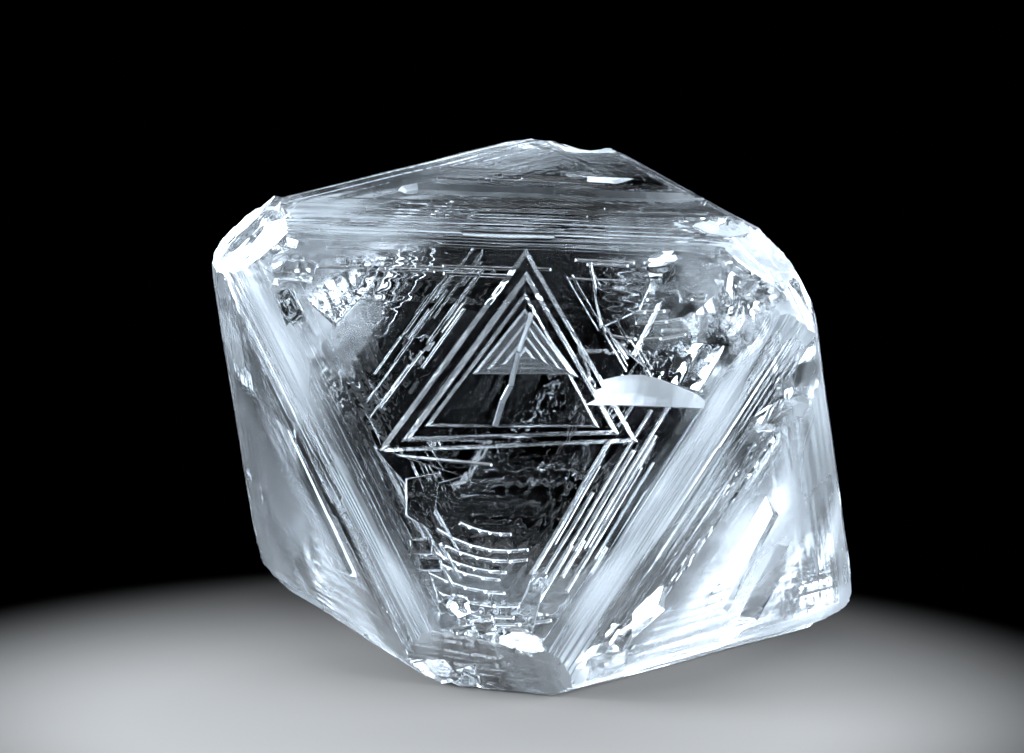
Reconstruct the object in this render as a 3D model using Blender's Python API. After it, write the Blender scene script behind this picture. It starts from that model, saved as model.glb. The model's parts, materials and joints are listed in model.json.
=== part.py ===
"""Rough diamond: one octahedral crystal that rests on one of its eight faces.

The crystal grew in thin sheets on each face. Every sheet stops a little short of the one below it, so the
twelve edges are staircases and not sharp lines. Corners are blunt or chipped, the front face carries a nest
of triangular etch pits, a trigon, and the top face a long slot. Units are metres, +Z is up, the front face
looks along -Y, and the origin is on the ground under the middle of the crystal's box.
"""

import math
import random

import bmesh
import bpy
from mathutils import Matrix, Vector

MM = 0.001
EDGE = 8.8 * MM  # edge of the ideal octahedron, before growth steps and wear
REACH = EDGE / math.sqrt(6)  # from the crystal's centre to each ideal face
RISE = 1 / 3  # z of a side face's normal
RUN = math.sqrt(8) / 3  # its horizontal part
SEED = 11

# Growth sheets.
SHEETS = 6  # stacked on each face, above the core
SHEET_THICKNESS = 0.030 * MM
CORE_DEPTH = SHEETS * SHEET_THICKNESS  # the core lies this far below every ideal face
SHEET_FOOT = 0.15 * MM  # how far a sheet is sunk in the core, so that the two join
BAND = 0.50 * MM  # how far the top sheet of a face stops short of its neighbours
BAND_CURVE = 1.25  # above 1, the ledges near a face's middle are the wide ones
CORNER_SHARE = 0.5  # share of a band by which a sheet stops short of the faces it meets only at a corner
SIDE_TILT = math.radians(1.3)  # sheet sides wander this much off the crystal's own directions
LEDGE_SCATTER = 0.22  # share by which a ledge's width varies

# Etch pits.
WALL_SLOPE = math.radians(50)  # of a pit's walls, from the face it is sunk in
LID = 0.20 * MM  # how far a cutter stands above its face
TERRACE = 0.034 * MM  # each terrace of the trigon is this much deeper than the last
TRIGON_SLANT = 4  # degrees by which the trigon's base rises to the right


def side_normal(azimuth_deg, rise):
    """Outward normal of a side face that looks along this compass angle, counted from +X."""
    angle = math.radians(azimuth_deg)
    return Vector((RUN * math.cos(angle), RUN * math.sin(angle), rise))


NORMALS = {
    "top": Vector((0, 0, 1)),
    "bottom": Vector((0, 0, -1)),
    "front": side_normal(-90, RISE),
    "back": side_normal(90, -RISE),
    "back_right": side_normal(30, RISE),
    "front_left": side_normal(210, -RISE),
    "back_left": side_normal(150, RISE),
    "front_right": side_normal(-30, -RISE),
}
# How far each face lies outside (+) or inside (-) the ideal octahedron.
GROWTH = {
    "top": -0.30 * MM,
    "bottom": -0.40 * MM,
    "front": -0.06 * MM,
    "back": 0.04 * MM,
    "back_right": -0.08 * MM,
    "front_left": 0.0,
    "back_left": 0.30 * MM,
    "front_right": 0.50 * MM,
}
# The crystal's centre. Its x and y put the box's middle over the origin.
CENTRE = Vector((-0.04 * MM, -0.02 * MM, REACH + GROWTH["bottom"]))

# Bands of ledges that differ from the rest, keyed by the face they lie on and the face they run along.
BANDS = {
    ("top", "front"): 1.50 * MM,
    ("front", "top"): 0.28 * MM,
    ("front", "front_left"): 0.62 * MM,
    ("front", "front_right"): 0.36 * MM,
    ("front_right", "front"): 1.00 * MM,
    ("front_left", "front"): 0.70 * MM,
    ("back", "bottom"): 0.80 * MM,
}

# Flats worn on the corners: the azimuth and elevation that each looks to, in degrees, and its distance from
# the centre.
WEAR = {
    "tip": (-101, -43, 4.73 * MM),
    "top_left": (-157, 50, 4.85 * MM),
    "top_right_upper": (-8, 56, 4.61 * MM),
    "top_right_outer": (-7, 26, 5.05 * MM),
    "top_right_face": (-32, 32, 5.42 * MM),
    "top_back_left": (105, 33, 5.10 * MM),
    "top_back_right": (88, 31, 5.00 * MM),
    "back_left_upper": (155, -20, 5.70 * MM),
    "back_left_middle": (154, -32, 5.74 * MM),
    "back_left_lower": (149, -46, 5.67 * MM),
    "back_right_outer": (28, -19, 5.20 * MM),
    "back_right_lower": (30, -58, 4.75 * MM),
}
WEAR_BLOCK = 5 * MM  # edge of the block that cuts a flat

# The trigon's terraces, outermost first: how high the triangle's tip and base lie on the front face, from the
# foot of the centre, its width, and how far its tip is to the right.
TRIGON = (
    (2.00 * MM, -0.85 * MM, 3.72 * MM, 0.38 * MM),
    (1.80 * MM, -0.78 * MM, 3.38 * MM, 0.39 * MM),
    (1.61 * MM, -0.68 * MM, 3.00 * MM, 0.38 * MM),
    (1.26 * MM, 0.09 * MM, 2.08 * MM, 0.43 * MM),
    (0.94 * MM, 0.29 * MM, 1.05 * MM, 0.41 * MM),
    (0.76 * MM, 0.43 * MM, 0.44 * MM, 0.41 * MM),
)
# Small lone trigons: face, place to the right and up on it, width, depth.
SMALL_PITS = (
    ("back", -1.3 * MM, 0.6 * MM, 1.30 * MM, 0.060 * MM),
    ("back", 0.9 * MM, -0.7 * MM, 0.80 * MM, 0.045 * MM),
    ("back", 1.6 * MM, 0.9 * MM, 0.45 * MM, 0.040 * MM),
    ("back_left", 0.4 * MM, 0.2 * MM, 1.00 * MM, 0.050 * MM),
    ("back_left", -1.0 * MM, 1.1 * MM, 0.50 * MM, 0.040 * MM),
    ("back_right", -0.5 * MM, -0.3 * MM, 1.10 * MM, 0.050 * MM),
    ("back_right", 0.8 * MM, 0.9 * MM, 0.50 * MM, 0.040 * MM),
)

SLOT_MIDDLE = (0.35 * MM, -0.05 * MM)  # of the slot across the top face
SLOT_SIZE = (4.5 * MM, 0.8 * MM)
SLOT_DEPTH = 0.075 * MM
SLOT_END_SHARE = 0.86  # reach of the two slants that round its left end, as a share of its half length
GROOVE_MIDDLE = (-0.93 * MM, 0.77 * MM)  # of the narrow groove beside the right edge of the front face
GROOVE_SIZE = (2.9 * MM, 0.07 * MM)
GROOVE_ANGLE = 58  # degrees, from level
GROOVE_DEPTH = 0.085 * MM
# Square-cornered steps low on the front face, beside its left edge: middle, width and height.
STEPS = (
    (-0.80 * MM, -2.32 * MM, 0.46 * MM, 0.20 * MM),
    (-0.76 * MM, -2.62 * MM, 0.40 * MM, 0.24 * MM),
    (-0.66 * MM, -3.02 * MM, 0.34 * MM, 0.34 * MM),
)
STEP_DEPTH = 0.065 * MM
STEP_LEAN = 15  # degrees, of a step's left and right sides

# Shell-shaped chips: face, place to the right and up on it, depth, and the radius of the ball that fits it.
CHIPS = (
    ("front", 2.90 * MM, 1.75 * MM, 0.15 * MM, 2.20 * MM),
    ("front", 3.40 * MM, 1.10 * MM, 0.16 * MM, 1.50 * MM),
    ("front", 0.55 * MM, -4.00 * MM, 0.22 * MM, 0.90 * MM),
    ("front_right", 0.75 * MM, 2.90 * MM, 0.22 * MM, 1.20 * MM),
    ("front_right", -2.55 * MM, -1.50 * MM, 0.20 * MM, 0.80 * MM),
    ("top", 3.15 * MM, -1.60 * MM, 0.20 * MM, 1.10 * MM),
    ("top", -3.60 * MM, -1.75 * MM, 0.22 * MM, 0.60 * MM),
    ("top", 0.30 * MM, 3.55 * MM, 0.20 * MM, 1.30 * MM),
    ("back_left", 2.30 * MM, -2.00 * MM, 0.22 * MM, 1.40 * MM),
    ("back", -3.00 * MM, -1.60 * MM, 0.24 * MM, 1.20 * MM),
)
CHIP_ROUNDNESS = 3  # subdivisions of a chip's ball


def distance(face):
    return REACH + GROWTH[face]


def direction(azimuth_deg, elevation_deg):
    azimuth = math.radians(azimuth_deg)
    elevation = math.radians(elevation_deg)
    level = math.cos(elevation)
    return Vector((level * math.cos(azimuth), level * math.sin(azimuth), math.sin(elevation)))


def face_plane(face, depth):
    """Point and outward normal of the plane this far below a face, at the foot of the centre."""
    return CENTRE + NORMALS[face] * (distance(face) - depth), NORMALS[face]


def face_axes(face):
    """The ways right and up on a face, seen from outside."""
    normal = NORMALS[face]
    if abs(normal.z) > 0.9:
        right = Vector((1, 0, 0))
    else:
        right = Vector((0, 0, 1)).cross(normal).normalized()
    return right, normal.cross(right)


def on_face(face, right_by, up_by):
    right, up = face_axes(face)
    return face_plane(face, 0)[0] + right * right_by + up * up_by


def adjoining(face, other):
    """True where two faces share an edge."""
    return abs(NORMALS[face].dot(NORMALS[other]) - RISE) < 0.01


def cut_by_planes(bm, planes):
    """Keeps what lies behind every (point, normal) plane, and closes each cut with a flat face."""
    for point, normal in planes:
        everything = bm.verts[:] + bm.edges[:] + bm.faces[:]
        cut = bmesh.ops.bisect_plane(
            bm, geom=everything, dist=1e-9, plane_co=point, plane_no=normal, clear_outer=True
        )
        rim = [part for part in cut["geom_cut"] if isinstance(part, bmesh.types.BMEdge)]
        if rim:
            bmesh.ops.edgeloop_fill(bm, edges=rim)
    bmesh.ops.recalc_face_normals(bm, faces=bm.faces[:])


def new_object(name, bm, collection):
    mesh = bpy.data.meshes.new(name)
    bm.to_mesh(mesh)
    bm.free()
    obj = bpy.data.objects.new(name, mesh)
    collection.objects.link(obj)
    return obj


def solid_between(name, planes, collection):
    """A convex solid: a large cube cut down by planes."""
    bm = bmesh.new()
    bmesh.ops.create_cube(bm, size=4 * EDGE, matrix=Matrix.Translation(CENTRE))
    cut_by_planes(bm, planes)
    return new_object(name, bm, collection)


def tipped(normal, rng):
    axis = Vector((rng.uniform(-1, 1), rng.uniform(-1, 1), rng.uniform(-1, 1))).normalized()
    return Matrix.Rotation(rng.uniform(-SIDE_TILT, SIDE_TILT), 3, axis) @ normal


def growth_sheet(face, level, collection, rng):
    """One sheet: its sides stop short of the face's edges, and its foot is sunk in the core."""
    foot, outward = face_plane(face, CORE_DEPTH + SHEET_FOOT)
    planes = [face_plane(face, level * SHEET_THICKNESS), (foot, -outward)]
    retreat = (1 - level / (SHEETS - 1)) ** BAND_CURVE
    lowest = CORE_DEPTH + SHEET_THICKNESS / 2
    for other in NORMALS:
        if other == face:
            continue
        if adjoining(face, other):
            scatter = 1 + LEDGE_SCATTER * rng.uniform(-1, 1)
            width = BANDS.get((face, other), BAND)
            point, normal = face_plane(other, lowest + (width - lowest) * retreat * scatter)
            planes.append((point, tipped(normal, rng)))
        else:
            planes.append(face_plane(other, lowest + BAND * CORNER_SHARE * retreat))
    return solid_between(f"sheet_{face}_{level}", planes, collection)


def growth_sheets(collection):
    rng = random.Random(SEED)
    for face in NORMALS:
        for level in range(SHEETS):
            growth_sheet(face, level, collection, rng)


def wear(collection):
    """A block outside each worn flat."""
    for name, (azimuth, elevation, reach) in WEAR.items():
        outward = direction(azimuth, elevation)
        turn = outward.to_track_quat("Z", "Y").to_matrix().to_4x4()
        place = Matrix.Translation(CENTRE + outward * (reach + WEAR_BLOCK / 2))
        bm = bmesh.new()
        bmesh.ops.create_cube(bm, size=WEAR_BLOCK, matrix=place @ turn)
        new_object(name, bm, collection)


def pit(name, face, middle, sides, depth, collection):
    """A flat-floored pit. Each side is the way it looks on the face, in degrees, and its distance."""
    right, up = face_axes(face)
    outward = NORMALS[face]
    planes = [(middle + outward * LID, outward), (middle - outward * depth, -outward)]
    for angle_deg, reach in sides:
        angle = math.radians(angle_deg)
        across = right * math.cos(angle) + up * math.sin(angle)
        wall = across * math.sin(WALL_SLOPE) - outward * math.cos(WALL_SLOPE)
        planes.append((middle + across * reach, wall))
    return solid_between(name, planes, collection)


def triangle_sides(width, height, roll=0, slant=0):
    """Sides of a triangle, tip up, about the point a third of the way up; slant turns only its base."""
    lean = math.atan2(width / 2, height)
    reach = 2 * height / 3 * math.sin(lean)
    tilt = math.degrees(lean)
    return ((-90 + roll + slant, height / 3), (tilt + roll, reach), (180 - tilt + roll, reach))


def trigon(collection):
    for number, (tip, base, width, right_by) in enumerate(TRIGON):
        height = tip - base
        place = on_face("front", right_by, base + height / 3)
        sides = triangle_sides(width, height, slant=TRIGON_SLANT)
        pit(f"trigon_{number}", "front", place, sides, TERRACE * (number + 1), collection)


def points_up(face):
    """True where the face is a triangle with its tip up, so that its etch pits point down."""
    return NORMALS[face].z < 0


def small_pits(collection):
    for number, (face, right_by, up_by, width, depth) in enumerate(SMALL_PITS):
        roll = 180 if points_up(face) else 0
        sides = triangle_sides(width, width * math.sqrt(3) / 2, roll)
        pit(f"small_pit_{number}", face, on_face(face, right_by, up_by), sides, depth, collection)


def slot(collection):
    length, width = SLOT_SIZE
    sides = [(angle, length / 2) for angle in (0, 180)]
    sides += [(angle, width / 2) for angle in (90, -90)]
    sides += [(angle, length / 2 * SLOT_END_SHARE) for angle in (145, 215)]
    pit("slot", "top", on_face("top", *SLOT_MIDDLE), sides, SLOT_DEPTH, collection)


def groove(collection):
    length, width = GROOVE_SIZE
    sides = [(GROOVE_ANGLE + turn, length / 2) for turn in (0, 180)]
    sides += [(GROOVE_ANGLE + turn, width / 2) for turn in (90, -90)]
    place = on_face("front_right", *GROOVE_MIDDLE)
    pit("groove", "front_right", place, sides, GROOVE_DEPTH, collection)


def steps(collection):
    for number, (right_by, up_by, width, height) in enumerate(STEPS):
        sides = ((90, height / 2), (-90, height / 2), (STEP_LEAN, width / 2), (180 + STEP_LEAN, width / 2))
        pit(f"step_{number}", "front", on_face("front", right_by, up_by), sides, STEP_DEPTH, collection)


def chips(collection):
    for number, (face, right_by, up_by, depth, radius) in enumerate(CHIPS):
        middle = on_face(face, right_by, up_by) + NORMALS[face] * (radius - depth)
        bm = bmesh.new()
        place = Matrix.Translation(middle)
        bmesh.ops.create_icosphere(bm, subdivisions=CHIP_ROUNDNESS, radius=radius, matrix=place)
        new_object(f"chip_{number}", bm, collection)


def helper_collection(name):
    collection = bpy.data.collections.new(name)
    bpy.context.scene.collection.children.link(collection)
    return collection


def mark_helpers(collection):
    for obj in collection.objects:
        obj.hide_render = True
        obj.display_type = "WIRE"


def boolean(obj, collection, operation):
    modifier = obj.modifiers.new(operation.title(), "BOOLEAN")
    modifier.operation = operation
    modifier.operand_type = "COLLECTION"
    modifier.collection = collection
    modifier.solver = "EXACT"


def diamond_material():
    material = bpy.data.materials.new("rough_diamond")
    material.use_nodes = True
    shader = material.node_tree.nodes["Principled BSDF"]
    shader.inputs["Base Color"].default_value = (0.86, 0.91, 1.0, 1.0)
    shader.inputs["Roughness"].default_value = 0.06
    shader.inputs["Metallic"].default_value = 0.0
    shader.inputs["IOR"].default_value = 2.417
    shader.inputs["Transmission Weight"].default_value = 1.0
    return material


def main():
    for obj in list(bpy.data.objects):
        bpy.data.objects.remove(obj)
    crystal = helper_collection("rough diamond")
    sheets = helper_collection("growth sheets")
    cutters = helper_collection("cutters")
    core = [face_plane(face, CORE_DEPTH) for face in NORMALS]
    diamond = solid_between("rough_diamond", core, crystal)
    diamond.data.materials.append(diamond_material())
    growth_sheets(sheets)
    wear(cutters)
    trigon(cutters)
    small_pits(cutters)
    slot(cutters)
    groove(cutters)
    steps(cutters)
    chips(cutters)
    mark_helpers(sheets)
    mark_helpers(cutters)
    boolean(diamond, sheets, "UNION")
    boolean(diamond, cutters, "DIFFERENCE")


main()
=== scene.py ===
"""Looks of the rough diamond: a clear octahedral crystal with stepped edges and a trigon."""

import json
import math
import random

import bmesh
import bpy
import numpy as np
from mathutils import Matrix, Vector, noise

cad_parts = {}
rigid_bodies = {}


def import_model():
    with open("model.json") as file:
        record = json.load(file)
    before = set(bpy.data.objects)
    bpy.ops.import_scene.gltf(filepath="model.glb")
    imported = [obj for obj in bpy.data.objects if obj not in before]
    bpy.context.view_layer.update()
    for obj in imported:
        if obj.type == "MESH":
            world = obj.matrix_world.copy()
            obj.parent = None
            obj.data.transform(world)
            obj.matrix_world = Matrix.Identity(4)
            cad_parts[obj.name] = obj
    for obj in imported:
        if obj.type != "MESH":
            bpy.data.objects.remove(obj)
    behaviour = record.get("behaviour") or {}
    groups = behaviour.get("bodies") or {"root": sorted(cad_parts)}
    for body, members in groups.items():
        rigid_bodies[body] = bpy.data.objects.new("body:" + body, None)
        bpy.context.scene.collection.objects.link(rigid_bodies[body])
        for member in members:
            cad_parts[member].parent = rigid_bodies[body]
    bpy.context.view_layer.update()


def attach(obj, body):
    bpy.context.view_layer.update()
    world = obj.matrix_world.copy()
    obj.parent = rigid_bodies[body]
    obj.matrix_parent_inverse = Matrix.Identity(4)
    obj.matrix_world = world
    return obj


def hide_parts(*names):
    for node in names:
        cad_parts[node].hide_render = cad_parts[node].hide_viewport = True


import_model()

MM = 0.001
EDGE = 8.8 * MM  # of the ideal octahedron, as in the CAD solid
REACH = EDGE / math.sqrt(6)  # from the centre to each ideal face
RISE = 1 / 3  # z of a side face's normal
RUN = math.sqrt(8) / 3  # its horizontal part
SEED = 11

# Growth sheets.
SHEETS = 10  # on each face, above the core
SHEET_THICKNESS = 0.018 * MM
CORE_DEPTH = SHEETS * SHEET_THICKNESS  # the core lies this far below every ideal face
SHEET_FOOT = 0.15 * MM  # how far a sheet is sunk in the core
LEAST_STEP = CORE_DEPTH + 0.015 * MM  # even the lowest sheet stops this far short of its neighbours
BAND = 0.50 * MM  # how far the top sheet stops short
BAND_CURVE = 1.25  # above 1, the ledges near a face's middle are the wide ones
CORNER_SHARE = 0.5  # share of a band towards the faces that a sheet meets only at a corner
SIDE_TILT = math.radians(1.3)
LEDGE_SCATTER = 0.30  # share by which a ledge's width varies
# Tabs: strips that carry a sheet's edge a little further out, along part of its length.
TAB_INSIDE = 0.12 * MM  # how far a tab reaches back over its own sheet
TAB_REACH = (0.1, 1.1)  # least and most, as a share of the ledge
TAB_CLEAR = 0.01 * MM
TAB_START = (0.02, 0.85)  # where it begins, as a share of the face's span
TAB_LENGTH = (0.05, 0.40)
TAB_LEAST_END = 0.02
TAB_RISE = (0.1, 0.5)  # share of a sheet's thickness by which a tab lies below its sheet
TABS_SEEN = 3  # for each ledge of a seen band
UNSEEN_LEDGES = 3  # elsewhere only every third ledge has a tab
# Cutters.
WALL_SLOPE = math.radians(42)  # of a lone pit's and the slot's walls
GROOVE_WALL_DEG = 80
FACET_WALL_DEG = 62
FLAT_WALL_DEG = 65
CLEAR_LINE_WALL_DEG = 78
LINE_WALL_DEG = 35
CRACK_WALL_DEG = 86
LID = 0.20 * MM  # how far a cutter stands above its face
FLOOR_NORMAL = 0.93  # a face whose normal is this near to its cut's own way is the cut's floor
GRID = 0.17 * MM  # the finished surface is cut into cells of this size


def side_normal(azimuth_deg, rise):
    angle = math.radians(azimuth_deg)
    return Vector((RUN * math.cos(angle), RUN * math.sin(angle), rise))


NORMALS = {
    "top": Vector((0, 0, 1)),
    "bottom": Vector((0, 0, -1)),
    "front": side_normal(-90, RISE),
    "back": side_normal(90, -RISE),
    "back_right": side_normal(30, RISE),
    "front_left": side_normal(210, -RISE),
    "back_left": side_normal(150, RISE),
    "front_right": side_normal(-30, -RISE),
}
GROWTH = {
    "top": -0.30 * MM,
    "bottom": -0.40 * MM,
    "front": -0.06 * MM,
    "back": 0.04 * MM,
    "back_right": -0.08 * MM,
    "front_left": 0.0,
    "back_left": 0.30 * MM,
    "front_right": 0.50 * MM,
}
CENTRE = Vector((-0.04 * MM, -0.02 * MM, REACH + GROWTH["bottom"]))
# Bands of ledges that differ from the rest: the face they lie on, the face they run along, width.
BANDS = {
    ("top", "front"): 1.50 * MM,
    ("front", "top"): 0.28 * MM,
    ("front", "front_left"): 0.62 * MM,
    ("front", "front_right"): 0.36 * MM,
    ("front_right", "front"): 1.00 * MM,
    ("front_left", "front"): 0.70 * MM,
    ("back", "bottom"): 0.80 * MM,
}
SEEN_BANDS = (
    ("front", "front_left"), ("front", "front_right"), ("front", "top"),
    ("front_right", "front"), ("front_left", "front"), ("top", "front"),
)
# Worn flats: the azimuth and elevation that each looks to, in degrees, and its distance from the centre.
WEAR = {
    "tip": (-101, -43, 4.73 * MM),
    "top_left": (-157, 50, 4.85 * MM),
    "top_right_upper": (-8, 56, 4.61 * MM),
    "top_right_outer": (-7, 26, 5.05 * MM),
    "top_right_face": (-32, 32, 5.42 * MM),
    "top_back_left": (105, 33, 5.10 * MM),
    "top_back_right": (88, 31, 5.00 * MM),
    "back_left_upper": (155, -20, 5.70 * MM),
    "back_left_middle": (154, -32, 5.74 * MM),
    "back_left_lower": (149, -46, 5.67 * MM),
    "back_right_outer": (28, -19, 5.20 * MM),
    "back_right_lower": (30, -58, 4.75 * MM),
}
WEAR_BLOCK = 5 * MM  # edge of the block that cuts a flat
# Frost of a cut: roughness added on its walls, and on its floor. CLEAR_CUT takes all roughness away.
CLEAR_CUT = (-1.0, -1.0)
PLAIN_CUT = (0.0, 0.0)
LINE_FROST = (0.10, 0.0)
CRACK_FROST = (0.34, 0.34)
# The trigon's terraces on the front face: tip, left and right corner, depth, slope of its walls in degrees.
# From here on, places on a face and depths without a unit are in mm: to the right and up, seen from outside.
TRIGON = (
    ((0.41, 1.99), (-1.57, -1.01), (2.18, -0.72), 0.060, 43),
    ((0.43, 1.79), (-1.36, -0.91), (2.01, -0.67), 0.125, 43),
    ((0.42, 1.62), (-1.18, -0.74), (1.83, -0.65), 0.165, 43),
    ((0.41, 1.45), (-0.66, -0.02), (1.52, 0.06), 0.195, 42),
    ((0.42, 1.32), (-0.53, 0.02), (1.41, 0.10), 0.225, 42),
    ((0.43, 1.19), (-0.40, 0.06), (1.29, 0.14), 0.255, 42),
    ((0.42, 1.07), (-0.28, 0.12), (1.18, 0.18), 0.285, 42),
    ((0.42, 0.97), (-0.16, 0.18), (1.08, 0.23), 0.310, 42),
    ((0.41, 0.89), (-0.04, 0.24), (0.97, 0.28), 0.335, 42),
    ((0.42, 0.80), (0.10, 0.31), (0.82, 0.34), 0.360, 42),
    ((0.43, 0.70), (0.24, 0.39), (0.67, 0.42), 0.420, 50),
)
TRIGON_OUTLINES = 3  # the terraces after these are the fine lines round the small middle
TRIGON_FROST = (0.07, 0.0)
TRIGON_HATCH_FROST = (0.24, 0.26)
# Straight scratches and the crack in the trigon, which is deeper than it is wide: face, ends, width, depth.
GROOVES = (
    ("front", (0.52, 1.10), (0.34, 0.52), 0.09, 0.390),
    ("front", (0.34, 0.54), (0.27, 0.02), 0.10, 0.380),
    ("front", (0.27, 0.04), (0.16, -0.20), 0.11, 0.235),
    ("front", (0.17, -0.18), (0.08, -0.56), 0.11, 0.225),
    ("front", (2.58, 1.73), (2.03, 0.50), 0.07, 0.030),
    ("front", (2.41, 0.88), (3.45, 0.96), 0.05, 0.045),
    ("front", (1.34, 1.81), (1.62, 0.80), 0.05, 0.020),
    ("front", (1.54, 1.00), (1.95, 0.45), 0.05, 0.025),
    ("front", (1.72, 0.75), (2.20, 0.36), 0.04, 0.022),
    ("front", (-1.33, -1.05), (0.10, -1.12), 0.05, 0.022),
)
# Tilted flats: face, corners, depth, tilt in degrees and the way it leans. Those on the front face are clear.
FACETS = (
    ("front", ((-3.60, 1.75), (-2.98, 1.80), (-2.57, 1.67), (-2.64, 1.36), (-3.20, 1.40)), 0.050, 22, -80),
    ("front", ((-2.60, 1.62), (-1.65, 1.74), (-1.77, 1.36), (-2.27, 0.75), (-2.75, 1.15)), 0.030, 9, -60),
    ("front", ((-3.35, 1.35), (-2.95, 1.38), (-2.35, 0.20), (-2.62, -0.05)), 0.030, 16, 150),
    ("front", ((1.34, 1.78), (2.34, 1.82), (2.09, 1.15), (1.54, 0.88)), 0.030, 8, -70),
    ("front", ((2.12, 0.80), (3.47, 0.89), (3.02, -0.02), (2.15, 0.27)), 0.030, 10, -40),
    ("front", ((2.40, 1.95), (3.20, 2.00), (3.05, 1.30), (2.62, 1.25)), 0.060, 16, -100),
    ("front", ((3.10, 1.75), (3.60, 1.70), (3.55, 1.05), (3.12, 1.10)), 0.080, 18, -50),
    ("front", ((2.81, 1.17), (2.93, 1.17), (3.04, 0.95), (2.94, 0.94)), 0.060, 0, 0),
    ("front", ((-0.14, -0.12), (0.01, -0.10), (0.04, -0.32), (-0.10, -0.38)), 0.200, 20, -60),
    ("front", ((-1.04, -2.22), (-0.69, -2.20), (-0.68, -2.45), (-1.02, -2.46)), 0.050, 0, 0),
    ("front", ((-0.97, -2.47), (-0.56, -2.46), (-0.49, -2.68), (-0.87, -2.70)), 0.075, 5, -60),
    ("front", ((-0.92, -2.77), (-0.66, -2.76), (-0.53, -3.08), (-0.76, -3.05)), 0.060, 4, 20),
    ("front", ((-0.80, -3.10), (-0.35, -3.05), (-0.20, -3.45), (-0.55, -3.55)), 0.055, 12, -60),
    ("front", ((-0.45, -3.45), (0.05, -3.40), (0.20, -3.85), (-0.15, -3.95)), 0.060, 14, 200),
    ("front", ((-1.62, -0.95), (-1.20, -1.05), (-0.30, -1.30), (-1.05, -1.55)), 0.018, 3, 240),
    ("front", ((-1.15, -1.35), (-0.62, -1.25), (-0.72, -2.10), (-1.10, -1.90)), 0.030, 4, 160),
    ("front", ((0.55, -3.30), (0.80, -2.60), (1.00, -2.65), (0.80, -3.60)), 0.050, 14, 30),
    ("front_right", ((-2.10, -0.55), (-1.55, -0.20), (-1.30, -0.75), (-1.90, -1.10)), 0.060, 12, -60),
    ("front_right", ((0.30, 0.80), (0.75, 0.40), (0.20, -1.10), (-0.40, -0.90)), 0.040, 7, -20),
    ("front_right", ((0.95, -0.10), (1.45, -0.30), (1.00, -1.40), (0.50, -1.30)), 0.040, 7, 190),
    ("front_left", ((0.10, 1.60), (0.60, 1.50), (1.60, -0.60), (1.10, -0.70)), 0.040, 9, 200),
    ("top", ((-3.00, -2.20), (-1.20, -2.10), (-1.60, -1.60), (-2.80, -1.70)), 0.030, 6, -90),
    ("top", ((0.60, 1.30), (1.30, 1.20), (1.10, 0.80), (0.65, 0.90)), 0.040, 14, -90),
)
# Bundles of fine parallel lines: face, first end of the first line, its direction in degrees, how far they
# spread to its right, shortest and longest line, how many, width, depth. A depth below 0 stands for lines
# with a flat clear floor, which show dark in frost.
BUNDLES = (
    ("front", (-2.95, 0.55), -57.5, 4.6, -0.95, 0.5, 2.2, 16, 0.045, 0.014),
    ("front", (-1.72, -0.90), 56.5, 3.4, -0.55, 0.3, 1.3, 20, 0.036, 0.010),
    ("front", (2.20, -0.40), 123.0, 2.6, 0.50, 0.3, 1.0, 10, 0.040, 0.010),
    ("front", (1.15, -3.70), 62.0, 4.6, -0.90, 0.6, 2.6, 18, 0.050, 0.018),
    ("front", (-2.70, 1.92), 0.0, 5.4, 0.35, 0.4, 2.0, 12, 0.040, 0.012),
    ("front", (1.10, -3.95), 59.0, 5.4, 0.80, 0.8, 3.4, 22, 0.055, -0.020),
    ("front", (-3.55, 1.80), -60.0, 5.4, 0.45, 0.8, 3.2, 12, 0.045, -0.020),
    ("front_right", (-2.95, -0.80), 58.0, 4.6, 1.20, 0.5, 2.4, 26, 0.055, 0.018),
    ("front_left", (3.30, -1.30), 120.0, 5.2, -0.90, 0.5, 2.4, 20, 0.055, 0.018),
    ("top", (-3.60, -2.30), 0.0, 6.6, -1.70, 0.8, 3.0, 20, 0.060, 0.014),
    ("top", (-1.60, 1.60), -4.0, 3.0, 0.90, 0.6, 2.0, 9, 0.070, 0.014),
    ("back", (-2.00, -1.40), 0.0, 4.0, -0.60, 0.5, 2.0, 10, 0.050, 0.012),
    ("back_right", (-2.00, 1.40), 0.0, 4.0, 0.60, 0.5, 2.0, 10, 0.050, 0.012),
    ("back_left", (-2.00, 1.40), 0.0, 4.0, 0.60, 0.5, 2.0, 10, 0.050, 0.012),
)
LINE_TURN = (-0.8, 0.8)
LINE_WIDER = (0.6, 1.5)
LINE_DEEPER = (0.6, 1.6)
LINE_LEAST_ROOM = 0.1
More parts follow.
